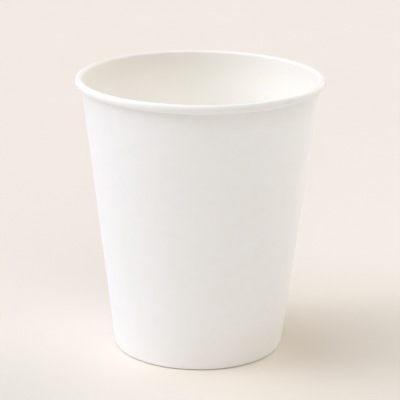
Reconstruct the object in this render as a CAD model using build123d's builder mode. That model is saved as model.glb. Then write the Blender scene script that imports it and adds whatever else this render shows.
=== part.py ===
from build123d import *
import os
from math import atan, cos, degrees, radians, sin

# Paper cold cup, made of two pieces of coated board, in millimetres with +Z up.
# The origin is the middle of the foot, on the surface that the cup stands on.

# Overall sizes
cup_height = 90.4
foot_diameter = 55.3       # outer face of the wall, carried down to the table
shoulder_diameter = 76.8   # outer face of the wall, carried up to the top of the rim

# Board
wall_board = 0.33
disc_board = 0.30

# Rolled rim: the top edge of the wall turned outward and tucked in under itself
roll_width = 2.10          # across the roll, square to the wall
roll_side_radius = 1.75    # outer side of the roll
roll_shoulder_angle = 35   # half the sweep of the outer side, in degrees
roll_gap = 0.10            # between the wall and the roll where it comes back to it
tuck_rise = 1.00           # run of the tucked edge up inside the roll

# Foot: the lower edge of the wall creased inward and up round the skirt of the disc
hem_height = 6.6
glue_line = 0.05           # on each side of the skirt
skirt_lift = 0.20          # from the floor of the fold up to the lower edge of the skirt

# Bottom
disc_height = 8.5          # top face of the disc above the table

# Lapped side seam, on the right as the cup is used
seam_angle = -5            # where the hidden edge of the blank lies, in degrees from +X
lap_width = 7.0
ramp_width = 2.5           # over this width the outer end climbs onto the inner end
seam_bite = 0.05           # how deep the seam's own surfaces start below the wall's

# The wall's taper, and the directions along it and out of it in the section
taper = degrees(atan((shoulder_diameter - foot_diameter) / 2 / cup_height))
lean = sin(radians(taper))
up_wall = Vector(lean, cos(radians(taper)))
out_of_wall = Vector(up_wall.Y, -up_wall.X)
board_across = wall_board / up_wall.Y


def outer_radius(height):
    """Radius of the wall's outer face at a height."""
    return foot_diameter / 2 + (shoulder_diameter - foot_diameter) / 2 * height / cup_height


def inner_radius(height):
    """Radius of the wall's inner face at a height."""
    return outer_radius(height) - board_across


# Rolled rim, by the radii of its outer face
shoulder = radians(roll_shoulder_angle)
roll_top_radius = (roll_width - roll_side_radius * (1 - cos(shoulder))) / (1 + cos(shoulder))
roll_foot_radius = roll_top_radius - (wall_board + roll_gap) / (1 + cos(shoulder))
roll_start = cup_height - roll_top_radius * (1 - lean)
roll_drop = (2 * roll_side_radius - roll_top_radius - roll_foot_radius) * sin(shoulder)

# Corners of the board's coated face: the pocket between wall and hem holds the skirt
pocket = (disc_board + 2 * glue_line) / up_wall.Y
wall_head = Vector(inner_radius(roll_start), roll_start)
wall_foot = Vector(inner_radius(wall_board), wall_board)
hem_foot = wall_foot - Vector(pocket, 0)
hem_top = hem_foot + hem_height * up_wall

# Disc: its skirt lies along the inner face of the wall
skirt_foot = wall_board + skirt_lift
crease = disc_height - disc_board * (1 + lean)

# Seam: it runs over the straight wall, from the fold to the underside of the roll
seam_foot = wall_board
seam_head = roll_start - roll_drop * up_wall.Y - roll_foot_radius / 2
step_head = seam_head - wall_board

# Both boards are drawn in section on the left, on the side away from the seam
section_plane = Plane.XZ.rotated((0, 0, 180))


def skirt_point(height):
    """Point of the skirt's outer face at a height."""
    return Vector(inner_radius(height) - glue_line / up_wall.Y, height)


def seam_point(radius, distance):
    """Point on a circle round the cup, a distance along it past the blank's hidden edge."""
    return Vector(radius, 0).rotate(Axis.Z, seam_angle + degrees(distance / radius))


def roll(start, depth):
    """Draw one face of the rolled rim from the head of the wall to the tucked edge.

    The coated face has depth 0, and the other lies the board's thickness behind it.
    """
    top = JernArc(start, up_wall, roll_top_radius - depth, roll_shoulder_angle - 180)
    side = JernArc(top @ 1, top % 1, roll_side_radius - depth, -2 * roll_shoulder_angle)
    foot = JernArc(side @ 1, side % 1, roll_foot_radius - depth, roll_shoulder_angle - 180)
    tuck = Line(foot @ 1, foot @ 1 + tuck_rise * up_wall)
    return tuck @ 1


with BuildPart() as side_wall:
    # One band of board, from the hem round the fold, up the wall and round the roll
    with BuildSketch(section_plane) as board_section:
        with BuildLine():
            coated = Polyline(hem_top, hem_foot, wall_foot, wall_head)
            coated_end = roll(coated @ 1, 0)
            hem = Line(hem_top - wall_board * out_of_wall, hem_foot - wall_board * out_of_wall)
            crease_in = JernArc(hem @ 1, -up_wall, wall_board, 90 + taper)
            sole = Line(crease_in @ 1, crease_in @ 1 + Vector(pocket, 0))
            crease_out = JernArc(sole @ 1, sole % 1, wall_board, 90 - taper)
            wall = Line(crease_out @ 1, wall_head + wall_board * out_of_wall)
            outer_end = roll(wall @ 1, wall_board)
            Line(coated @ 0, hem @ 0)
            Line(coated_end, outer_end)
        make_face()
    revolve(axis=Axis.Z)

    # The outer end of the blank climbs onto the inner end and stops in one step
    for height in (seam_foot, seam_head):
        face = outer_radius(height)
        with BuildSketch(Plane.XY.offset(height)) as lap_section:
            with BuildLine():
                Line(seam_point(face - seam_bite, -ramp_width), seam_point(face + board_across, 0))
                ThreePointArc(
                    seam_point(face + board_across, 0),
                    seam_point(face + board_across, lap_width / 2),
                    seam_point(face + board_across, lap_width),
                )
                Line(
                    seam_point(face + board_across, lap_width),
                    seam_point(face - board_across / 2, lap_width),
                )
                ThreePointArc(
                    seam_point(face - board_across / 2, lap_width),
                    seam_point(face - board_across / 2, (lap_width - ramp_width) / 2),
                    seam_point(face - board_across / 2, -ramp_width),
                )
                Line(
                    seam_point(face - board_across / 2, -ramp_width),
                    seam_point(face - seam_bite, -ramp_width),
                )
            make_face()
    loft(ruled=True)

    # Inside the cup the hidden edge of the blank shows as a step, with the outer end behind it
    for height in (seam_foot, step_head):
        face = inner_radius(height)
        with BuildSketch(Plane.XY.offset(height)) as step_section:
            with BuildLine():
                Polyline(
                    seam_point(face - seam_bite, -ramp_width),
                    seam_point(face + board_across, 0),
                    seam_point(face - board_across, 0),
                    seam_point(face - board_across, -ramp_width),
                    close=True,
                )
            make_face()
    loft(ruled=True, mode=Mode.SUBTRACT)

with BuildPart() as bottom_disc:
    # One band of board, creased down at its edge into the skirt
    with BuildSketch(section_plane) as disc_section:
        with BuildLine():
            skirt = Line(skirt_point(skirt_foot), skirt_point(crease))
            edge = JernArc(skirt @ 1, up_wall, disc_board, 90 + taper)
            floor = Line(edge @ 1, (0, disc_height))
            under = Polyline(
                floor @ 1 - Vector(0, disc_board),
                edge @ 1 - Vector(0, disc_board),
                skirt @ 0 - disc_board * out_of_wall,
            )
            Line(floor @ 1, under @ 0)
            Line(under @ 1, skirt @ 0)
        make_face()
    revolve(axis=Axis.Z)

side_wall.part.label = "side_wall"
bottom_disc.part.label = "bottom_disc"

os.makedirs("parts", exist_ok=True)
export_step(side_wall.part, "parts/side_wall.step")
export_step(bottom_disc.part, "parts/bottom_disc.step")
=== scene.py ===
"""Paper cold cup: the looks of its two pieces of coated board, and the studio round them.

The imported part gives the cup's height. Every length is in metres unless its comment says else,
with +Z up and the origin in the middle of the foot. Each piece is one board, so its section is
drawn once as a path along one face, and a Geometry Nodes tree wraps that section round the axis.
"""

import logging
import math
from dataclasses import dataclass, field, fields
from enum import Enum
from typing import Any

import bmesh
import bpy
from bpy.types import Material, Node, NodeSocket, NodeTree, Object
from mathutils import Matrix, Vector


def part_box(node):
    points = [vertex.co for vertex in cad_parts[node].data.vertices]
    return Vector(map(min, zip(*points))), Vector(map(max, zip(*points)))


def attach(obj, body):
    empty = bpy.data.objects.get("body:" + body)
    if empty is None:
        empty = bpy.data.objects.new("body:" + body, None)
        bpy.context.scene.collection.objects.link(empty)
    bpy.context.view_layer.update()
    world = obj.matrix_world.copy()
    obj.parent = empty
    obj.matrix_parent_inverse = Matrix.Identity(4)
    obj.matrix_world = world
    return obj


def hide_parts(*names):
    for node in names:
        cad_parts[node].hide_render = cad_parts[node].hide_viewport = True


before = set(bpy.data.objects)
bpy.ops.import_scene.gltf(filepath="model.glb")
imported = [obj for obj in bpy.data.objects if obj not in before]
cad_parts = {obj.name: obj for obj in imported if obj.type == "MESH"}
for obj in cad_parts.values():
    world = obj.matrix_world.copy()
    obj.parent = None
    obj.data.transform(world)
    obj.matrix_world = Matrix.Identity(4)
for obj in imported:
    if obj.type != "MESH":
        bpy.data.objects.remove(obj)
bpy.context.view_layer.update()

LOG = logging.getLogger("paper_cup")
MM = 0.001
LEVEL = (1.0, 1.0, 0.0)   # a vector times this lies level
MATHS = "ShaderNodeMath"
VECTOR_MATHS = "ShaderNodeVectorMath"
MAP_RANGE = "ShaderNodeMapRange"
LIGHT_BOUNCES = 8         # light goes to and fro many times inside a white cup


class Zone(Enum):
    """The stretches of a folded board, in the order that its section is drawn."""

    HEM = "hem"
    HEM_FOLD = "hem fold"
    SOLE = "sole"
    WALL_FOLD = "wall fold"
    WALL = "wall"
    NECK = "neck"
    ROLL_TOP = "roll top"
    ROLL_SIDE = "roll side"
    ROLL_FOOT = "roll foot"
    TUCK = "tuck"
    SKIRT = "skirt"
    CREASE = "crease"
    FLOOR = "floor"


STEPS = {   # how many steps each stretch of a section is divided into
    Zone.HEM: 12,
    Zone.HEM_FOLD: 8,
    Zone.SOLE: 2,
    Zone.WALL_FOLD: 8,
    Zone.WALL: 20,
    Zone.NECK: 4,
    Zone.ROLL_TOP: 14,
    Zone.ROLL_SIDE: 7,
    Zone.ROLL_FOOT: 10,
    Zone.TUCK: 2,
    Zone.SKIRT: 12,
    Zone.CREASE: 6,
    Zone.FLOOR: 60,
}


class Face(Enum):
    """The two faces of a board: the one that its path is drawn along, and the other."""

    DRAWN = "drawn"
    OTHER = "other"


def linear_colour(hex_code: str) -> tuple[float, float, float, float]:
    """Turn an sRGB hex code into a linear colour.

    Args:
        hex_code: Six hex digits, such as "F7F5F0".

    Returns:
        Red, green, blue and an alpha of 1.
    """
    shares = [int(hex_code[start : start + 2], 16) / 255 for start in (0, 2, 4)]
    linear = [s / 12.92 if s <= 0.04045 else ((s + 0.055) / 1.055) ** 2.4 for s in shares]
    return linear[0], linear[1], linear[2], 1.0


def add_node(
    tree: NodeTree, kind: str, inputs: dict[str | int, Any] | tuple[Any, ...], **settings: Any
) -> Node:
    """Add a node to a tree, with its settings and its links.

    Args:
        tree: The shader or geometry tree.
        kind: The node's type name.
        inputs: A value, or the socket that feeds it, for each input by name or number, or a
            row of them for the first inputs in their order.
        settings: Properties of the node itself.

    Returns:
        The new node.
    """
    node = tree.nodes.new(kind)
    for name, value in settings.items():
        setattr(node, name, value)
    by_input = inputs if isinstance(inputs, dict) else dict(enumerate(inputs))
    for name, value in by_input.items():
        if isinstance(value, NodeSocket):
            tree.links.new(value, node.inputs[name])
        else:
            node.inputs[name].default_value = value
    return node


def start_material(name: str) -> tuple[Material, NodeTree, Node]:
    """Start a procedural material.

    Args:
        name: What it is called.

    Returns:
        The material, its tree and the shader in it.
    """
    material = bpy.data.materials.new(name)
    material.use_nodes = True
    return material, material.node_tree, material.node_tree.nodes["Principled BSDF"]


def seen_by_eye(tree: NodeTree) -> NodeSocket:
    """Tell the rays that show a place to the camera, straight or mirrored, from stray light.

    Args:
        tree: The shader tree.

    Returns:
        1 for a camera ray, a mirrored one or a refracted one, and 0 for any other.
    """
    rays = add_node(tree, "ShaderNodeLightPath", {}).outputs
    mirrored = add_node(
        tree, MATHS, (rays["Is Glossy Ray"], rays["Is Transmission Ray"]), operation="MAXIMUM"
    ).outputs[0]
    return add_node(tree, MATHS, (rays["Is Camera Ray"], mirrored), operation="MAXIMUM").outputs[0]


@dataclass(frozen=True)
class Marks:
    """What the wrap does at one point of a section. Each is a share, from 0 to 1."""

    outer_lift: float = 0.0   # rises where the outer end of the blank lies on the inner one
    inner_lift: float = 0.0   # sinks where the outer end climbs, as seen inside the cup
    roll_step: float = 0.0    # rises where the inner end lies on top, on the rolled rim
    push: float = 0.0         # moves outwards with the lap behind it
    knurl: float = 0.0        # takes the ribs that the knurling wheel presses
    sway: float = 0.0         # wanders from the true cone
    pleat: float = 0.0        # puckers where the board is drawn round a corner
    step_inside: float = 0.0  # 1 where the hidden end of the blank shows its cut edge
    step_outside: float = 0.0  # 1 where the outer end shows its cut edge
    cut_end: float = 0.0      # 1 on both sides of a cut edge that runs round the cup


@dataclass(frozen=True)
class Station:
    """One place along a board's section."""

    point: Vector   # on the drawn face, as (radius, height)
    across: Vector  # unit vector from the drawn face to the other one
    zone: Zone
    share: float    # how much of the zone lies behind it, from 0 to 1


@dataclass
class BoardPath:
    """The section of a folded board, drawn along one face with the board on the right of it."""

    point: Vector
    heading: float  # way of travel, in radians from outwards towards up
    stations: list[Station] = field(default_factory=list)

    def along(self) -> Vector:
        """Unit vector along the way of travel."""
        return Vector((math.cos(self.heading), math.sin(self.heading)))

    def right(self) -> Vector:
        """Unit vector to the right of the way of travel, across the board."""
        return Vector((math.sin(self.heading), -math.cos(self.heading)))

    def mark(self, zone: Zone, share: float) -> None:
        """Add a station where the path has got to."""
        self.stations.append(Station(self.point.copy(), self.right(), zone, share))

    def run(self, length: float, zone: Zone) -> None:
        """Draw a straight stretch.

        Args:
            length: How far it goes.
            zone: The stretch of board that it belongs to.
        """
        start = self.point.copy()
        count = STEPS[zone]
        for step in range(count + 1):
            self.point = start + self.along() * length * step / count
            self.mark(zone, step / count)

    def bend(self, radius: float, sweep: float, zone: Zone) -> None:
        """Draw an arc, or a crease about the drawn face where the radius is 0.

        Args:
            radius: Radius of the drawn face.
            sweep: How far the path turns, in degrees, to the left where it is above 0.
            zone: The stretch of board that it belongs to.
        """
        side = -math.copysign(radius, sweep)
        centre = self.point + self.right() * side
        start = self.heading
        count = STEPS[zone]
        for step in range(count + 1):
            self.heading = start + math.radians(sweep) * step / count
            self.point = centre - self.right() * side
            self.mark(zone, step / count)


@dataclass(frozen=True)
class BoardFinish:
    """Bleached cup board with an extruded polyethylene coat, cast on a fine matt roller.

    The eye sees a clean white with a soft satin sheen, the faint cloudiness of the pulp under
    the coat, and a surface that is level but not glass smooth.
    """

    name: str
    tone: str = "FBF9F6"
    cloud_tone: str = "F9F7F3"
    lining_tone: str = "FCF9F3"    # painted light: the inside face is a little creamier, standing in for the warm light bouncing about inside the cup
    lining_span: tuple[float, float] = (-0.5, -0.9)  # cosine from outwards at which it sets in
    roughness: tuple[float, float] = (0.56, 0.44)    # from matt to satin, with the fibres
    ior: float = 1.5
    cloud_size: float = 3.5 * MM   # pulp gathers in clouds a few millimetres across
    cloud_span: tuple[float, float] = (0.35, 0.65)
    cloud_depth: float = 0.006 * MM
    fibre_size: float = 0.7 * MM   # real fibres are 0.03 mm wide, drawn coarser to show at all
    fibre_span: tuple[float, float] = (0.3, 0.7)
    fibre_depth: float = 0.003 * MM
    glow: float = 0.5              # a lit board lets a little of the light through
    glow_depth: float = 0.5 * MM
    glow_tint: tuple[float, float, float] = (1.0, 0.95, 0.87)
    glow_from: float = 9.0 * MM    # the layers of the foot and of the rim let nothing through
    glow_to: float = 84.0 * MM
    glow_fade: float = 3.0 * MM
    scuff_tone: str = "B9B2A7"     # painted shade: the board just above the table is darkened, standing in for the contact shadow under the foot
    scuff_top: float = 0.5 * MM

    def material(self) -> Material:
        """Build the coated board as a procedural material.

        Returns:
            The material, with the board's two faces in one.
        """
        material, tree, shader = start_material(self.name)
        shader.inputs["IOR"].default_value = self.ior
        shader.inputs["Subsurface Radius"].default_value = self.glow_tint
        shader.inputs["Subsurface Scale"].default_value = self.glow_depth
        coordinates = add_node(tree, "ShaderNodeTexCoord", {}).outputs
        place = coordinates["Object"]
        height = add_node(tree, "ShaderNodeSeparateXYZ", {0: place}).outputs["Z"]
        lit_from = self.glow_from + self.glow_fade
        lit_to = self.glow_to - self.glow_fade
        above = add_node(
            tree, MAP_RANGE, (height, self.glow_from, lit_from, 0.0, self.glow)
        ).outputs[0]
        below = add_node(tree, MAP_RANGE, (height, self.glow_to, lit_to)).outputs[0]
        glow = add_node(tree, MATHS, (above, below), operation="MULTIPLY").outputs[0]
        tree.links.new(glow, shader.inputs["Subsurface Weight"])
        clouds = add_node(
            tree,
            "ShaderNodeTexNoise",
            {"Vector": place, "Scale": 1 / self.cloud_size, "Detail": 4.0, "Roughness": 0.6},
        ).outputs[0]
        fibres = add_node(
            tree,
            "ShaderNodeTexNoise",
            {"Vector": place, "Scale": 1 / self.fibre_size, "Detail": 3.0, "Distortion": 1.2},
        ).outputs[0]
        ramp = add_node(tree, "ShaderNodeValToRGB", {"Fac": clouds})
        stops = zip(ramp.color_ramp.elements, self.cloud_span, (self.cloud_tone, self.tone))
        for stop, position, tone in stops:
            stop.position = position
            stop.color = linear_colour(tone)
        tones = ramp.outputs["Color"]
        level = add_node(tree, VECTOR_MATHS, (place, LEVEL), operation="MULTIPLY").outputs[0]
        outwards = add_node(tree, VECTOR_MATHS, (level,), operation="NORMALIZE").outputs[0]
        facing = add_node(
            tree,
            VECTOR_MATHS,
            {0: outwards, 1: coordinates["Normal"]},
            operation="DOT_PRODUCT",
        ).outputs["Value"]
        # Painted light: faces that look inwards take the creamier tone, for light bouncing inside
        # the cup.
        is_inside_face = add_node(tree, MAP_RANGE, (facing, *self.lining_span)).outputs[0]
        lit_inside = add_node(
            tree,
            "ShaderNodeMix",
            {0: is_inside_face, 6: tones, 7: linear_colour(self.lining_tone)},
            data_type="RGBA",
        ).outputs[2]
        # Painted shade: the board within half a millimetre of the table is darkened, for the
        # contact shadow under the foot.
        near_table_shade = add_node(tree, MAP_RANGE, (height, 0.0, self.scuff_top, 1.0, 0.0)).outputs[0]
        foot_shaded = add_node(
            tree,
            "ShaderNodeMix",
            {0: near_table_shade, 6: lit_inside, 7: linear_colour(self.scuff_tone)},
            data_type="RGBA",
        ).outputs[2]
        tree.links.new(foot_shaded, shader.inputs["Base Color"])
        gloss = add_node(tree, MAP_RANGE, (fibres, *self.fibre_span, *self.roughness)).outputs[0]
        tree.links.new(gloss, shader.inputs["Roughness"])
        cloud_bump = add_node(
            tree, "ShaderNodeBump", {"Height": clouds, "Distance": self.cloud_depth}
        ).outputs["Normal"]
        fibre_bump = add_node(
            tree,
            "ShaderNodeBump",
            {"Height": fibres, "Distance": self.fibre_depth, "Normal": cloud_bump},
        ).outputs["Normal"]
        tree.links.new(fibre_bump, shader.inputs["Normal"])
        return material


@dataclass(frozen=True)
class CutEdgeFinish:
    """Raw edge of the board, cut by a die and never coated.

    The eye sees a thin line that is duller and a little warmer than the faces, with fibres.
    """

    name: str = "die_cut_board_edge"
    tone: str = "F1EADC"
    shade: str = "DDD2BF"
    roughness: float = 0.9
    fibre_size: float = 0.25 * MM
    fibre_span: tuple[float, float] = (0.3, 0.6)
    fibre_depth: float = 0.05 * MM

    def material(self) -> Material:
        """Build the raw edge as a procedural material.

        Returns:
            The material.
        """
        material, tree, shader = start_material(self.name)
        shader.inputs["Roughness"].default_value = self.roughness
        place = add_node(tree, "ShaderNodeTexCoord", {}).outputs["Object"]
        fibres = add_node(
            tree,
            "ShaderNodeTexNoise",
            {"Vector": place, "Scale": 1 / self.fibre_size, "Detail": 2.0, "Distortion": 2.0},
        ).outputs[0]
        ramp = add_node(tree, "ShaderNodeValToRGB", {"Fac": fibres})
        stops = zip(ramp.color_ramp.elements, self.fibre_span, (self.shade, self.tone))
        for stop, position, tone in stops:
            stop.position = position
            stop.color = linear_colour(tone)
        tones = ramp.outputs["Color"]
        tree.links.new(tones, shader.inputs["Base Color"])
        bump = add_node(tree, "ShaderNodeBump", {"Height": fibres, "Distance": self.fibre_depth})
        tree.links.new(bump.outputs["Normal"], shader.inputs["Normal"])
        return material


@dataclass(frozen=True)
class GroundFinish:
    """Matt painted ground of a photographer's table.

    The eye sees an even warm beige that takes the cup's shadow and gives no reflection, except for
    painted shade that deepens it towards the front left.
    """

    name: str = "matt_painted_ground"
    tone: str = "F1E8DD"
    shade: str = "EFE6DB"
    patch_span: tuple[float, float] = (0.0, 1.0)
    patch_size: float = 60 * MM
    front_tone: str = "E9E2D8"    # painted shade: towards the camera and the windows the ground is darker, offsetting light that the cup throws onto it
    front_way: tuple[float, float, float] = (-0.6, -0.8, 0.0)
    front_fade: float = 75 * MM
    bounce_tone: str = "F7F2EC"   # what it throws back at the cup, a little paler than it looks
    roughness: float = 0.95
    specular: float = 0.1

    def material(self) -> Material:
        """Build the ground as a procedural material.

        Returns:
            The material.
        """
        material, tree, shader = start_material(self.name)
        shader.inputs["Roughness"].default_value = self.roughness
        shader.inputs["Specular IOR Level"].default_value = self.specular
        place = add_node(tree, "ShaderNodeTexCoord", {}).outputs["Object"]
        patches = add_node(
            tree, "ShaderNodeTexNoise", {"Vector": place, "Scale": 1 / self.patch_size}
        ).outputs[0]
        ramp = add_node(tree, "ShaderNodeValToRGB", {"Fac": patches})
        stops = zip(ramp.color_ramp.elements, self.patch_span, (self.shade, self.tone))
        for stop, position, tone in stops:
            stop.position = position
            stop.color = linear_colour(tone)
        tones = ramp.outputs["Color"]
        # Painted shade: the ground darkens towards the front left, against the light that the cup
        # throws onto it.
        ahead = add_node(
            tree, VECTOR_MATHS, {0: place, 1: self.front_way}, operation="DOT_PRODUCT"
        ).outputs["Value"]
        front_shade_share = add_node(
            tree, MAP_RANGE, (ahead, 0.0, self.front_fade), interpolation_type="SMOOTHSTEP"
        ).outputs[0]
        surface = add_node(
            tree,
            "ShaderNodeMix",
            {0: front_shade_share, 6: tones, 7: linear_colour(self.front_tone)},
            data_type="RGBA",
        ).outputs[2]
        paint = add_node(
            tree,
            "ShaderNodeMix",
            {0: seen_by_eye(tree), 6: linear_colour(self.bounce_tone), 7: surface},
            data_type="RGBA",
        ).outputs[2]
        tree.links.new(paint, shader.inputs["Base Color"])
        return material


@dataclass(frozen=True)
class Seam:
    """The lapped side seam of the blank, or no seam at all where its widths are 0."""

    seam_angle: float = math.radians(-5)  # where the hidden edge of the blank lies, from +X
    lap_width: float = 0.0
    ramp_width: float = 0.0   # over it the outer end climbs onto the inner one
    cut_width: float = 0.0    # run of a cut edge, just off square so that it has a face
    ramp_columns: int = 0
    lap_columns: int = 0


@dataclass
class BoardWrap:
    """The Geometry Nodes tree that wraps a board's section round the cup's axis.

    The object's own mesh is the outline of the section, with a Marks value at each point. The
    tree lays a grid on it, turns each column of the grid to its angle, and works the lap, the
    knurling, the pleats and the slight waver of real board into it.
    """

    name: str = "board_wrap"
    merge_distance: float = 0.002 * MM
    pole_radius: float = 0.01 * MM
    sharp_angle: float = math.radians(38)
    raw_share: float = 0.9                          # above it a face is a cut edge
    rib_span: tuple[float, float] = (-0.6, 1.0)     # of a cosine: wide grooves, narrow ribs
    sway_climb: float = 10.0                        # how fast the sway changes up the wall
    sway_span: tuple[float, float] = (0.25, 0.75)   # of the noise behind the sway
    pleat_span: tuple[float, float] = (0.4, 0.7)    # of the noise behind the pleats
    sizes: tuple[tuple[str, str], ...] = (
        ("Columns", "Int"),
        ("Board", "Float"),
        ("Seam Angle", "Float"),
        ("Lap Width", "Float"),
        ("Ramp Width", "Float"),
        ("Cut Width", "Float"),
        ("Ramp Columns", "Int"),
        ("Lap Columns", "Int"),
        ("Taper", "Float"),
        ("Knurl Count", "Int"),
        ("Knurl Depth", "Float"),
        ("Sway Depth", "Float"),
        ("Sway Scale", "Float"),
        ("Pleat Depth", "Float"),
        ("Pleat Scale", "Float"),
        ("Seed", "Float"),
        ("Face Finish", "Material"),
        ("Edge Finish", "Material"),
    )

    def tree(self) -> NodeTree:
        """Build the tree.

        Returns:
            The node group, with one named input for each size and finish.
        """
        tree = bpy.data.node_groups.new(self.name, "GeometryNodeTree")
        tree.interface.new_socket("Geometry", in_out="INPUT", socket_type="NodeSocketGeometry")
        for name, kind in self.sizes:
            tree.interface.new_socket(name, in_out="INPUT", socket_type="NodeSocket" + kind)
        tree.interface.new_socket("Geometry", in_out="OUTPUT", socket_type="NodeSocketGeometry")
        given = add_node(tree, "NodeGroupInput", {}).outputs
        column, row, grid = self.lay_grid(tree, given)
        marks = self.sample_marks(tree, given["Geometry"], row)
        along, turn = self.turn_columns(tree, given, column, marks["radius"])
        lift, push, raw_edge = self.lap_board(tree, given, along, marks)
        place = self.place_points(tree, given, marks, turn, lift, push)
        marked = add_node(
            tree,
            "GeometryNodeStoreNamedAttribute",
            {"Geometry": grid, "Name": "raw_edge", "Value": raw_edge},
            data_type="FLOAT",
            domain="POINT",
        )
        wrapped = add_node(
            tree, "GeometryNodeSetPosition", {"Geometry": marked.outputs[0], "Position": place}
        )
        self.close_and_dress(tree, given, wrapped.outputs[0])
        return tree

    def lay_grid(self, tree: NodeTree, given: Any) -> tuple[NodeSocket, NodeSocket, NodeSocket]:
        """Make the grid, one row for each point of the section and one column for each turn.

        Args:
            tree: The tree.
            given: The tree's own inputs.

        Returns:
            The column and the row of each point of the grid, and the grid.
        """
        whole = "FunctionNodeIntegerMath"
        outline = add_node(
            tree,
            "GeometryNodeAttributeDomainSize",
            {"Geometry": given["Geometry"]},
            component="MESH",
        ).outputs["Point Count"]
        rows = add_node(tree, whole, (outline, 1), operation="ADD").outputs[0]
        columns = add_node(tree, whole, (given["Columns"], 1), operation="ADD").outputs[0]
        grid = add_node(tree, "GeometryNodeMeshGrid", {"Vertices X": columns, "Vertices Y": rows})
        index = add_node(tree, "GeometryNodeInputIndex", {}).outputs[0]
        column = add_node(tree, whole, (index, rows), operation="DIVIDE_FLOOR").outputs[0]
        grid_row = add_node(tree, whole, (index, rows), operation="MODULO").outputs[0]
        row = add_node(tree, whole, (grid_row, outline), operation="MODULO").outputs[0]
        return column, row, grid.outputs["Mesh"]

    def sample_marks(
        self, tree: NodeTree, outline: NodeSocket, row: NodeSocket
    ) -> dict[str, NodeSocket]:
        """Read the section's place, facing and marks for each row of the grid.

        Args:
            tree: The tree.
            outline: The outline of the section.
            row: The row of each point of the grid.

        Returns:
            One socket for each mark, and radius, height, out_radial and out_axial.
        """
        kinds = {mark.name: "FLOAT" for mark in fields(Marks)}
        kinds.update(position="FLOAT_VECTOR", facing="FLOAT_VECTOR")
        marks = {}
        for name, kind in kinds.items():
            named = add_node(
                tree, "GeometryNodeInputNamedAttribute", {"Name": name}, data_type=kind
            ).outputs["Attribute"]
            marks[name] = add_node(
                tree,
                "GeometryNodeSampleIndex",
                {"Geometry": outline, "Value": named, "Index": row},
                data_type=kind,
                domain="POINT",
            ).outputs["Value"]
        for name, radial, axial in (
            ("position", "radius", "height"),
            ("facing", "out_radial", "out_axial"),
        ):
            parts = add_node(tree, "ShaderNodeSeparateXYZ", {0: marks.pop(name)}).outputs
            marks[radial], marks[axial] = parts["X"], parts["Z"]
        return marks

    def turn_columns(
        self, tree: NodeTree, given: Any, column: NodeSocket, radius: NodeSocket
    ) -> tuple[NodeSocket, NodeSocket]:
        """Spread the columns: close together over the seam, and evenly over the rest.

        Args:
            tree: The tree.
            given: The tree's own inputs.
            column: The column of each point of the grid.
            radius: The radius of each point.

        Returns:
            The distance past the hidden edge, over the seam, and the angle about the axis.
        """
        lap, ramp, cut = given["Lap Width"], given["Ramp Width"], given["Cut Width"]
        reached = add_node(tree, MATHS, (ramp, -1.0), operation="MULTIPLY").outputs[0]
        lap_run = add_node(tree, MATHS, (lap, cut), operation="SUBTRACT").outputs[0]
        first: Any = 0.0
        for columns, width in (
            (given["Ramp Columns"], ramp),
            (1.0, cut),
            (given["Lap Columns"], lap_run),
            (1.0, cut),
            (given["Ramp Columns"], ramp),
        ):
            last = add_node(tree, MATHS, (first, columns), operation="ADD").outputs[0]
            step = add_node(tree, MAP_RANGE, (column, first, last, 0.0, width)).outputs[0]
            reached = add_node(tree, MATHS, (reached, step), operation="ADD").outputs[0]
            first = last
        share = add_node(tree, MAP_RANGE, (column, first, given["Columns"])).outputs[0]
        lap_and_ramps = add_node(tree, MATHS, (ramp, 2.0, lap), operation="MULTIPLY_ADD").outputs[0]
        seam_width = add_node(tree, MATHS, (lap_and_ramps, cut), operation="ADD").outputs[0]
        seam_turn = add_node(tree, MATHS, (seam_width, radius), operation="DIVIDE").outputs[0]
        rest_turn = add_node(tree, MATHS, (math.tau, seam_turn), operation="SUBTRACT").outputs[0]
        along_turn = add_node(tree, MATHS, (reached, radius), operation="DIVIDE").outputs[0]
        past_edge = add_node(
            tree, MATHS, (share, rest_turn, along_turn), operation="MULTIPLY_ADD"
        ).outputs[0]
        return reached, add_node(
            tree, MATHS, (past_edge, given["Seam Angle"]), operation="ADD"
        ).outputs[0]

    def lap_board(
        self, tree: NodeTree, given: Any, along: NodeSocket, marks: dict[str, NodeSocket]
    ) -> tuple[NodeSocket, NodeSocket, NodeSocket]:
        """Lay the outer end of the blank on the inner one.

        Args:
            tree: The tree.
            given: The tree's own inputs.
            along: The distance past the hidden edge.
            marks: What the section says of each row.

        Returns:
            How far each point moves out of its own face, how far it moves out of the wall, and
            1 on both sides of each cut edge.
        """
        lap, ramp, cut = given["Lap Width"], given["Ramp Width"], given["Cut Width"]
        lap_end = add_node(tree, MATHS, (lap, cut), operation="ADD").outputs[0]
        settled = add_node(tree, MATHS, (lap_end, ramp), operation="ADD").outputs[0]
        start = add_node(tree, MATHS, (ramp, -1.0), operation="MULTIPLY").outputs[0]
        stages = {}
        for name, span, blend in (
            ("climb", (start, 0.0), "SMOOTHSTEP"),
            ("hidden_edge", (0.0, cut), "LINEAR"),
            ("outer_edge", (lap, lap_end), "LINEAR"),
            ("settle", (lap_end, settled), "SMOOTHSTEP"),
        ):
            stage = add_node(tree, MAP_RANGE, (along, *span), interpolation_type=blend).outputs[0]
            rest = add_node(tree, MATHS, (1.0, stage), operation="SUBTRACT").outputs[0]
            stages[name] = (rest, stage)
        moves = {}
        for name, start_stage, end_stage in (
            ("outer_lift", "climb", "outer_edge"),
            ("inner_lift", "climb", "hidden_edge"),
            ("roll_step", "hidden_edge", "settle"),
            ("push", "climb", "settle"),
        ):
            reach = add_node(
                tree, MATHS, (stages[start_stage][1], stages[end_stage][0]), operation="MULTIPLY"
            ).outputs[0]
            scaled = add_node(tree, MATHS, (reach, marks[name]), operation="MULTIPLY").outputs[0]
            moves[name] = add_node(
                tree, MATHS, (scaled, given["Board"]), operation="MULTIPLY"
            ).outputs[0]
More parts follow.
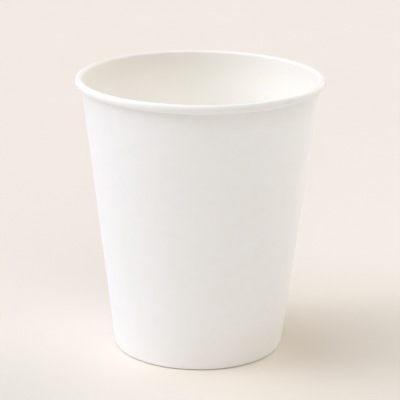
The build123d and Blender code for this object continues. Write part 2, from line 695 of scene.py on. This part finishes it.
        raised = add_node(
            tree, MATHS, (moves["outer_lift"], moves["roll_step"]), operation="ADD"
        ).outputs[0]
        lift = add_node(tree, MATHS, (raised, moves["inner_lift"]), operation="SUBTRACT").outputs[0]
        raw_edge = marks["cut_end"]
        tolerance = self.merge_distance / 4
        for mark, edges in (("step_inside", (0.0, cut)), ("step_outside", (lap, lap_end))):
            near = []
            for edge in edges:
                compared = add_node(tree, MATHS, (along, edge, tolerance), operation="COMPARE")
                near.append(compared.outputs[0])
            either = add_node(tree, MATHS, tuple(near), operation="MAXIMUM").outputs[0]
            shown = add_node(tree, MATHS, (either, marks[mark]), operation="MULTIPLY").outputs[0]
            raw_edge = add_node(tree, MATHS, (raw_edge, shown), operation="MAXIMUM").outputs[0]
        return lift, moves["push"], raw_edge

    def place_points(
        self,
        tree: NodeTree,
        given: Any,
        marks: dict[str, NodeSocket],
        turn: NodeSocket,
        lift: NodeSocket,
        push: NodeSocket,
    ) -> NodeSocket:
        """Put each point of the grid in its place on the cup.

        Args:
            tree: The tree.
            given: The tree's own inputs.
            marks: What the section says of each row.
            turn: The angle of each point about the axis.
            lift: How far it moves out of its own face, for the lap.
            push: How far it moves out of the wall, for the lap.

        Returns:
            The place of each point.
        """
        cosine = add_node(tree, MATHS, (turn,), operation="COSINE").outputs[0]
        sine = add_node(tree, MATHS, (turn,), operation="SINE").outputs[0]
        rib_turn = add_node(
            tree, MATHS, (turn, given["Knurl Count"]), operation="MULTIPLY"
        ).outputs[0]
        rib_wave = add_node(tree, MATHS, (rib_turn,), operation="COSINE").outputs[0]
        ribs = add_node(tree, MAP_RANGE, (rib_wave, *self.rib_span)).outputs[0]
        shapes = {"knurl": ribs}
        for name, climbs, span, onto in (
            ("sway", self.sway_climb, self.sway_span, (-1.0, 1.0)),
            ("pleat", 0.0, self.pleat_span, (0.0, 1.0)),
        ):
            climb = add_node(
                tree, MATHS, (marks["height"], climbs, given["Seed"]), operation="MULTIPLY_ADD"
            ).outputs[0]
            ring = add_node(tree, "ShaderNodeCombineXYZ", {0: cosine, 1: sine, 2: climb}).outputs[0]
            noise = add_node(
                tree,
                "ShaderNodeTexNoise",
                {"Vector": ring, "Scale": given[name.title() + " Scale"], "Detail": 1.0},
            ).outputs[0]
            shapes[name] = add_node(tree, MAP_RANGE, (noise, *span, *onto)).outputs[0]
        depths = {}
        for name, shape in shapes.items():
            scaled = add_node(tree, MATHS, (shape, marks[name]), operation="MULTIPLY").outputs[0]
            depths[name] = add_node(
                tree, MATHS, (scaled, given[name.title() + " Depth"]), operation="MULTIPLY"
            ).outputs[0]
        out = add_node(tree, MATHS, (lift, depths["knurl"]), operation="SUBTRACT").outputs[0]
        outwards = add_node(tree, MATHS, (push, depths["sway"]), operation="ADD").outputs[0]
        sunk = add_node(tree, MATHS, (outwards, depths["pleat"]), operation="SUBTRACT").outputs[0]
        lean_cosine = add_node(tree, MATHS, (given["Taper"],), operation="COSINE").outputs[0]
        lean_sine = add_node(tree, MATHS, (given["Taper"],), operation="SINE").outputs[0]
        radius = add_node(
            tree, MATHS, (marks["out_radial"], out, marks["radius"]), operation="MULTIPLY_ADD"
        ).outputs[0]
        radius = add_node(
            tree, MATHS, (sunk, lean_cosine, radius), operation="MULTIPLY_ADD"
        ).outputs[0]
        height = add_node(
            tree, MATHS, (marks["out_axial"], out, marks["height"]), operation="MULTIPLY_ADD"
        ).outputs[0]
        sink = add_node(tree, MATHS, (sunk, lean_sine), operation="MULTIPLY").outputs[0]
        height = add_node(tree, MATHS, (height, sink), operation="SUBTRACT").outputs[0]
        east = add_node(tree, MATHS, (radius, cosine), operation="MULTIPLY").outputs[0]
        north = add_node(tree, MATHS, (radius, sine), operation="MULTIPLY").outputs[0]
        place = add_node(tree, "ShaderNodeCombineXYZ", {0: east, 1: north, 2: height})
        return place.outputs[0]

    def close_and_dress(self, tree: NodeTree, given: Any, wrapped: NodeSocket) -> None:
        """Close the seams and the pole, shade the board and give it its finishes.

        Args:
            tree: The tree.
            given: The tree's own inputs.
            wrapped: The grid, wrapped round the axis.
        """
        compare = "FunctionNodeCompare"
        position = add_node(tree, "GeometryNodeInputPosition", {}).outputs[0]
        level = add_node(tree, VECTOR_MATHS, (position, LEVEL), operation="MULTIPLY").outputs[0]
        radius = add_node(
            tree, VECTOR_MATHS, {0: level}, operation="LENGTH"
        ).outputs["Value"]
        at_pole = add_node(
            tree, compare, (radius, self.pole_radius), operation="LESS_THAN"
        ).outputs[0]
        bend = add_node(tree, "GeometryNodeInputMeshEdgeAngle", {}).outputs["Unsigned Angle"]
        is_sharp = add_node(
            tree, compare, (bend, self.sharp_angle), operation="GREATER_THAN"
        ).outputs[0]
        raw_edge = add_node(
            tree, "GeometryNodeInputNamedAttribute", {"Name": "raw_edge"}, data_type="FLOAT"
        ).outputs["Attribute"]
        is_raw = add_node(
            tree, compare, (raw_edge, self.raw_share), operation="GREATER_THAN"
        ).outputs[0]
        crease = {"Selection": is_sharp, "Shade Smooth": False}
        cut_edge = {"Selection": is_raw, "Material": given["Edge Finish"]}
        shape = wrapped
        for kind, inputs, settings in (
            ("DeleteGeometry", {"Selection": at_pole}, {"domain": "FACE"}),
            ("MergeByDistance", {"Distance": self.merge_distance}, {}),
            ("SetShadeSmooth", {"Shade Smooth": True}, {"domain": "FACE"}),
            ("SetShadeSmooth", crease, {"domain": "EDGE"}),
            ("RealizeInstances", {}, {}),
            ("SetMaterial", {"Material": given["Face Finish"]}, {}),
            ("SetMaterial", cut_edge, {}),
        ):
            node = add_node(tree, "GeometryNode" + kind, {"Geometry": shape, **inputs}, **settings)
            shape = node.outputs[0]
        add_node(tree, "NodeGroupOutput", {0: shape})


@dataclass
class BoardPiece:
    """A piece of the cup that is one folded board."""

    name: str
    node: str
    slot: str
    board: float
    columns: int
    taper: float
    wrap: NodeTree
    face_finish: Material
    edge_finish: Material
    seam: Seam = field(default_factory=Seam)
    knurl_count: int = 0
    knurl_depth: float = 0.0
    sway_depth: float = 0.0
    sway_scale: float = 2.0
    pleat_depth: float = 0.0
    pleat_scale: float = 30.0
    seed: float = 3.0

    def path(self) -> BoardPath:
        """Draw the section, from one cut edge of the board to the other."""
        raise NotImplementedError

    def marks(self, station: Station, face: Face) -> Marks:
        """Say what the wrap does at a station, on one face."""
        raise NotImplementedError

    def outline(self) -> Object:
        """Make the outline of the section as a closed line of vertices.

        Returns:
            An object whose vertices hold their marks and the way that their face looks.
        """
        stations = self.path().stations
        rows = [(s, Face.DRAWN) for s in stations] + [(s, Face.OTHER) for s in reversed(stations)]
        points = []
        facings = []
        for station, face in rows:
            other = face is Face.OTHER
            point = station.point + station.across * (self.board if other else 0.0)
            facing = station.across * (1.0 if other else -1.0)
            points.append((point.x, 0.0, point.y))
            facings.extend((facing.x, 0.0, facing.y))
        edges = [(i, (i + 1) % len(points)) for i in range(len(points))]
        mesh = bpy.data.meshes.new(self.name + "_outline")
        mesh.from_pydata(points, edges, [])
        mesh.attributes.new("facing", "FLOAT_VECTOR", "POINT").data.foreach_set("vector", facings)
        marks = [self.marks(station, face) for station, face in rows]
        for mark in fields(Marks):
            values = [getattr(row, mark.name) for row in marks]
            mesh.attributes.new(mark.name, "FLOAT", "POINT").data.foreach_set("value", values)
        outline = bpy.data.objects.new(self.name, mesh)
        bpy.context.scene.collection.objects.link(outline)
        return outline

    def build(self) -> Object:
        """Wrap the section, turn it into a plain mesh and set it on the frame.

        Returns:
            The finished piece, which rides on the cup's body and replaces its node.
        """
        piece = self.outline()
        modifier = piece.modifiers.new("wrap", "NODES")
        modifier.node_group = self.wrap
        sizes = {**vars(self), **vars(self.seam)}
        for item in self.wrap.interface.items_tree:
            size = item.name.lower().replace(" ", "_")   # "Lap Width" is the piece's lap_width
            if item.in_out == "INPUT" and size in sizes:
                modifier[item.identifier] = sizes[size]
        bpy.context.view_layer.update()
        evaluated = piece.evaluated_get(bpy.context.evaluated_depsgraph_get())
        mesh = bpy.data.meshes.new_from_object(evaluated)
        piece.modifiers.remove(modifier)
        piece.data = mesh
        mesh.name = self.name
        for attribute in [a for a in mesh.attributes if a.name == "raw_edge"]:
            mesh.attributes.remove(attribute)
        shell = bmesh.new()
        shell.from_mesh(mesh)
        bmesh.ops.recalc_face_normals(shell, faces=shell.faces)
        shell.to_mesh(mesh)
        shell.free()
        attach(piece, "root")
        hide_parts(self.node)
        finishes = [finish for finish in mesh.materials if finish]
        LOG.info("%s: %d faces, %d finishes", self.name, len(mesh.polygons), len(finishes))
        return piece


@dataclass
class Cup:
    """Sizes that both pieces share."""

    height: float
    foot_diameter: float = 55.3 * MM      # outer face of the wall, carried down to the table
    shoulder_diameter: float = 76.8 * MM  # outer face of the wall, carried up to the rim's top
    wall_board: float = 0.33 * MM
    disc_board: float = 0.30 * MM
    glue_line: float = 0.05 * MM

    @property
    def taper(self) -> float:
        """Lean of the wall from upright, in radians."""
        return math.atan((self.shoulder_diameter - self.foot_diameter) / 2 / self.height)

    @property
    def up_wall(self) -> float:
        """Heading of a path that climbs the wall."""
        return math.pi / 2 - self.taper

    @property
    def pocket(self) -> float:
        """Level width of the pocket between wall and hem, which holds the disc's skirt."""
        return (self.disc_board + 2 * self.glue_line) / math.cos(self.taper)

    def inner_radius(self, height: float) -> float:
        """Radius of the wall's inner face at a height."""
        outer = self.foot_diameter / 2 + math.tan(self.taper) * height
        return outer - self.wall_board / math.cos(self.taper)


@dataclass
class SideWall(BoardPiece):
    """The wall: one blank, lapped at the side, rolled at the rim and folded in at the foot."""

    cup: Cup | None = None
    roll_width: float = 2.10 * MM
    roll_side_radius: float = 1.75 * MM
    roll_shoulder: float = 35.0      # half the sweep of the roll's outer side, in degrees
    roll_gap: float = 0.10 * MM
    tuck_rise: float = 1.00 * MM
    hem_height: float = 6.6 * MM
    sole_tilt: float = 22.0          # rise of the foot from the hem to the wall, in degrees
    foot_radius: float = 0.08 * MM   # inside the fold between the sole and the wall
    neck_height: float = 1.4 * MM    # behind the roll, where the lap passes into the rim
    roll_crush: float = 0.2          # how much of a board's thickness the lap adds on the roll
    hem_crush: float = 0.5
    roll_sway: float = 0.2
    top_push: float = 0.5            # share of the lap's push that the roll's top ends with
    side_push: float = 0.8
    rib_reach: float = 1.15          # length of the hem over that of its ribs
    fold_reach: float = 1.3          # length of its fold over that of the lap on it

    def path(self) -> BoardPath:
        """Draw the section from the top of the hem to the tucked edge inside the roll.

        Returns:
            The drawn path.
        """
        cup = self.cup
        board = self.board
        lean = math.sin(cup.taper)
        spread = math.cos(math.radians(self.roll_shoulder))
        top_radius = (self.roll_width - self.roll_side_radius * (1 - spread)) / (1 + spread)
        foot_radius = top_radius - (board + self.roll_gap) / (1 + spread)
        roll_start = cup.height - top_radius * (1 - lean)
        fold = Vector((cup.inner_radius(board) - cup.pocket, board))
        path = BoardPath(fold, cup.up_wall + math.pi)
        path.point = fold - path.along() * self.hem_height
        path.run(self.hem_height, Zone.HEM)
        slope = math.radians(self.sole_tilt)
        path.bend(0.0, 90 + math.degrees(cup.taper + slope), Zone.HEM_FOLD)
        fold_sweep = 90 - math.degrees(cup.taper + slope)
        fold_run = self.foot_radius * math.tan(math.radians(fold_sweep / 2))
        sole_width = cup.pocket / math.cos(cup.taper + slope)
        path.run(sole_width * math.cos(cup.taper) - fold_run, Zone.SOLE)
        path.bend(self.foot_radius, fold_sweep, Zone.WALL_FOLD)
        wall_foot = sole_width * math.sin(slope) + fold_run
        wall_run = (roll_start - board) / math.cos(cup.taper) - wall_foot
        path.run(wall_run - self.neck_height, Zone.WALL)
        path.run(self.neck_height, Zone.NECK)
        path.bend(top_radius, self.roll_shoulder - 180, Zone.ROLL_TOP)
        path.bend(self.roll_side_radius, -2 * self.roll_shoulder, Zone.ROLL_SIDE)
        path.bend(foot_radius, self.roll_shoulder - 180, Zone.ROLL_FOOT)
        path.run(self.tuck_rise, Zone.TUCK)
        return path

    def marks(self, station: Station, face: Face) -> Marks:
        """Say what the wrap does at a station of the wall.

        Args:
            station: The place along the section.
            face: The coated face that lines the cup and shows on the rim, or the outside one.

        Returns:
            The marks of that point.
        """
        share = station.share
        outside = face is Face.OTHER
        match station.zone:
            case Zone.HEM if outside:
                return Marks(
                    outer_lift=self.hem_crush,
                    knurl=math.sin(math.pi * min(1.0, share * self.rib_reach)) ** 0.5,
                    step_outside=1.0,
                    cut_end=float(share == 0),
                )
            case Zone.HEM:
                return Marks(cut_end=float(share == 0))
            case Zone.HEM_FOLD if outside:
                left = 1 - min(1.0, share * self.fold_reach)
                return Marks(outer_lift=self.hem_crush * left**2, step_outside=1.0)
            case Zone.WALL_FOLD if outside:
                return Marks(outer_lift=share**2, step_outside=1.0)
            case Zone.WALL:
                sway = math.sin(math.pi * share) + self.roll_sway * share
                if outside:
                    return Marks(outer_lift=1.0, sway=sway, step_outside=1.0)
                return Marks(inner_lift=1.0, sway=sway, step_inside=1.0)
            case Zone.NECK:
                rest = 1 - share
                if outside:
                    return Marks(outer_lift=rest, sway=self.roll_sway, step_outside=1.0)
                step = self.roll_crush * share
                return Marks(inner_lift=rest, roll_step=step, sway=self.roll_sway, step_inside=1.0)
            case Zone.ROLL_TOP:
                return self.roll_marks(outside, self.roll_crush, self.top_push * share)
            case Zone.ROLL_SIDE:
                push = self.top_push + (self.side_push - self.top_push) * share
                return self.roll_marks(outside, self.roll_crush, push)
            case Zone.ROLL_FOOT:
                push = self.side_push + (1 - self.side_push) * share
                return self.roll_marks(outside, self.roll_crush * (1 - share), push)
            case Zone.TUCK:
                return Marks(push=1.0, sway=self.roll_sway, cut_end=float(share == 1))
        return Marks()

    def roll_marks(self, outside: bool, step: float, push: float) -> Marks:
        """Say what the wrap does on the roll, where the coated face is the one that shows.

        Args:
            outside: True on the other face, which lies inside the roll.
            step: How much of a board's thickness the lap adds.
            push: How far the point moves out of the wall with the lap behind it.

        Returns:
            The marks of that point.
        """
        if outside:
            return Marks(push=push, sway=self.roll_sway)
        return Marks(roll_step=step, push=push, sway=self.roll_sway, step_inside=1.0)


@dataclass
class BottomDisc(BoardPiece):
    """The bottom: one round blank whose edge is turned down between the wall and the hem."""

    cup: Cup | None = None
    top: float = 8.5 * MM
    skirt_lift: float = 0.20 * MM
    ring_inset: float = 2.4 * MM     # the forming punch leaves a faint groove near the edge
    ring_width: float = 0.9 * MM
    ring_depth: float = 0.09 * MM
    dish: float = 0.15 * MM          # how far the middle lies below the edge
    pucker_from: float = 0.75        # share of the skirt that lies below the puckers

    def path(self) -> BoardPath:
        """Draw the section along the under face, from the foot of the skirt to the axis.

        Returns:
            The drawn path.
        """
        cup = self.cup
        board = self.board
        foot = cup.wall_board + self.skirt_lift
        outer = cup.inner_radius(foot) - cup.glue_line / math.cos(cup.taper)
        lower_edge = Vector((math.cos(cup.taper), -math.sin(cup.taper))) * board
        path = BoardPath(Vector((outer, foot)) - lower_edge, cup.up_wall)
        path.run((self.top - board - path.point.y) / math.cos(cup.taper), Zone.SKIRT)
        path.bend(0.0, 90 + math.degrees(cup.taper), Zone.CREASE)
        edge = path.point.x
        path.run(edge, Zone.FLOOR)
        for number, station in enumerate(path.stations):
            if station.zone is Zone.FLOOR:
                sunk = station.point - Vector((0.0, self.dip(station.point.x, edge)))
                path.stations[number] = Station(sunk, station.across, station.zone, station.share)
        return path

    def dip(self, radius: float, edge: float) -> float:
        """Say how far the floor lies below its edge.

        Args:
            radius: The distance from the axis.
            edge: The radius at which the floor meets the crease.

        Returns:
            The depth of the dish, and of the punch's groove where it runs.
        """
        bowl = self.dish * (1 - (radius / edge) ** 2)
        across_ring = abs(edge - self.ring_inset - radius) / self.ring_width
        groove = self.ring_depth * math.cos(math.pi / 2 * min(1.0, across_ring)) ** 2
        return bowl + groove

    def marks(self, station: Station, face: Face) -> Marks:
        """Say what the wrap does at a station of the disc.

        Args:
            station: The place along the section.
            face: The under face or the upper one.

        Returns:
            The marks of that point.
        """
        share = station.share
        match station.zone:
            case Zone.SKIRT:
                pucker = max(0.0, (share - self.pucker_from) / (1 - self.pucker_from))
                return Marks(pleat=pucker, cut_end=float(share == 0))
            case Zone.CREASE:
                return Marks(pleat=1.0 - share)
        return Marks()


@dataclass(frozen=True)
class FarLamp:
    """One lamp of the studio, so far off that it lights the whole ground evenly."""

    name: str
    azimuth: float    # where it stands, in degrees from +X towards +Y
    elevation: float
    spread: float     # how wide it looks from the cup, in degrees
    strength: float
    tone: str = "FFFFFF"

    def build(self) -> Object:
        """Hang the lamp.

        Returns:
            The lamp, which points from its place in the sky to the cup.
        """
        lamp = bpy.data.lights.new(self.name, "SUN")
        lamp.energy = self.strength
        lamp.angle = math.radians(self.spread)
        lamp.color = linear_colour(self.tone)[:3]
        holder = bpy.data.objects.new(self.name, lamp)
        around = math.radians(self.azimuth)
        up = math.radians(self.elevation)
        flat = math.cos(up)
        way = Vector((math.cos(around) * flat, math.sin(around) * flat, math.sin(up)))
        holder.rotation_euler = way.to_track_quat("Z", "Y").to_euler()
        bpy.context.scene.collection.objects.link(holder)
        LOG.info("%s: strength %.2f, %.0f degrees wide", self.name, self.strength, self.spread)
        return holder


@dataclass
class Studio:
    """The ground, the lamps, the pale surroundings and the camera."""

    ground_radius: float = 4.0
    ground_sides: int = 96
    camera_distance: float = 527.6 * MM
    camera_height: float = 212.1 * MM
    pitch: float = 0.3003   # radians below level
    yaw: float = 0.0007
    roll: float = 0.0101
    lens: float = 151.45    # millimetres, on a sensor 36 mm wide
    sensor: float = 36.0
    air_tone: str = "F1EAE3"
    lamps: tuple[FarLamp, ...] = (
        FarLamp("left_window", 172.0, 55.0, 70.0, 2.20, "EFF3FF"),
        FarLamp("left_window_sill", 184.0, 25.0, 30.0, 0.78, "EFF3FF"),
        FarLamp("front_panel", 286.0, 48.0, 60.0, 1.10, "FFFCF5"),
        FarLamp("right_panel", 0.0, 35.0, 45.0, 0.34, "FFFCF5"),
        FarLamp("rear_panel", 45.0, 15.0, 45.0, 1.22, "FFFCF5"),
    )

    def build_ground(self) -> Object:
        """Lay the ground, a wide round table.

        Returns:
            The ground.
        """
        mesh = bpy.data.meshes.new("ground")
        shape = bmesh.new()
        bmesh.ops.create_circle(
            shape, cap_ends=True, radius=self.ground_radius, segments=self.ground_sides
        )
        shape.to_mesh(mesh)
        shape.free()
        mesh.materials.append(GroundFinish().material())
        ground = bpy.data.objects.new("ground", mesh)
        bpy.context.scene.collection.objects.link(ground)
        return ground

    def build_air(self) -> None:
        """Set the surroundings: as pale as the ground to the eye, and no light of their own."""
        world = bpy.data.worlds.new("studio_air")
        bpy.context.scene.world = world
        world.use_nodes = True
        shade = world.node_tree.nodes["Background"]
        shade.inputs["Color"].default_value = linear_colour(self.air_tone)
        world.node_tree.links.new(seen_by_eye(world.node_tree), shade.inputs["Strength"])

    def build_camera(self) -> Object:
        """Set up the camera where the photographer stood.

        Returns:
            The camera, which the scene then uses.
        """
        flat, sink = math.cos(self.pitch), math.sin(self.pitch)
        ahead = Vector((math.sin(self.yaw) * flat, math.cos(self.yaw) * flat, -sink))
        level = Vector((math.cos(self.yaw), -math.sin(self.yaw), 0.0))
        upright = level.cross(ahead)
        right = math.cos(self.roll) * level + math.sin(self.roll) * upright
        above = math.cos(self.roll) * upright - math.sin(self.roll) * level
        turned = Matrix((right, above, -ahead)).transposed().to_4x4()
        data = bpy.data.cameras.new("camera")
        data.sensor_width = self.sensor
        data.lens = self.lens
        camera = bpy.data.objects.new("camera", data)
        place = Matrix.Translation((0.0, -self.camera_distance, self.camera_height))
        camera.matrix_world = place @ turned
        bpy.context.scene.collection.objects.link(camera)
        bpy.context.scene.camera = camera
        return camera

    def build(self) -> None:
        """Build the whole studio."""
        self.build_ground()
        self.build_air()
        self.build_camera()
        for lamp in self.lamps:
            lamp.build()


def main() -> None:
    """Build the cup's two pieces and the studio round them."""
    logging.basicConfig(level=logging.INFO, format="%(message)s")
    wall_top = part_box("side_wall")[1].z
    cup = Cup(height=wall_top)
    wrap = BoardWrap().tree()
    cut_edge = CutEdgeFinish().material()
    SideWall(
        name="folded_wall",
        node="side_wall",
        slot="wall_board",
        board=cup.wall_board,
        columns=470,
        taper=cup.taper,
        wrap=wrap,
        face_finish=BoardFinish("coated_wall_board").material(),
        edge_finish=cut_edge,
        seam=Seam(
            lap_width=7.0 * MM,
            ramp_width=2.5 * MM,
            cut_width=0.02 * MM,
            ramp_columns=8,
            lap_columns=10,
        ),
        knurl_count=60,
        knurl_depth=0.09 * MM,
        sway_depth=0.05 * MM,
        cup=cup,
    ).build()
    BottomDisc(
        name="skirted_disc",
        node="bottom_disc",
        slot="bottom_board",
        board=cup.disc_board,
        columns=300,
        taper=cup.taper,
        wrap=wrap,
        face_finish=BoardFinish(
            "coated_bottom_board", tone="FBF8F4", cloud_tone="F9F6F1"
        ).material(),
        edge_finish=cut_edge,
        pleat_depth=0.12 * MM,
        cup=cup,
    ).build()
    Studio().build()
    scene = bpy.context.scene
    scene.view_settings.view_transform = "Standard"
    scene.cycles.diffuse_bounces = LIGHT_BOUNCES


if __name__ == "__main__":
    main()
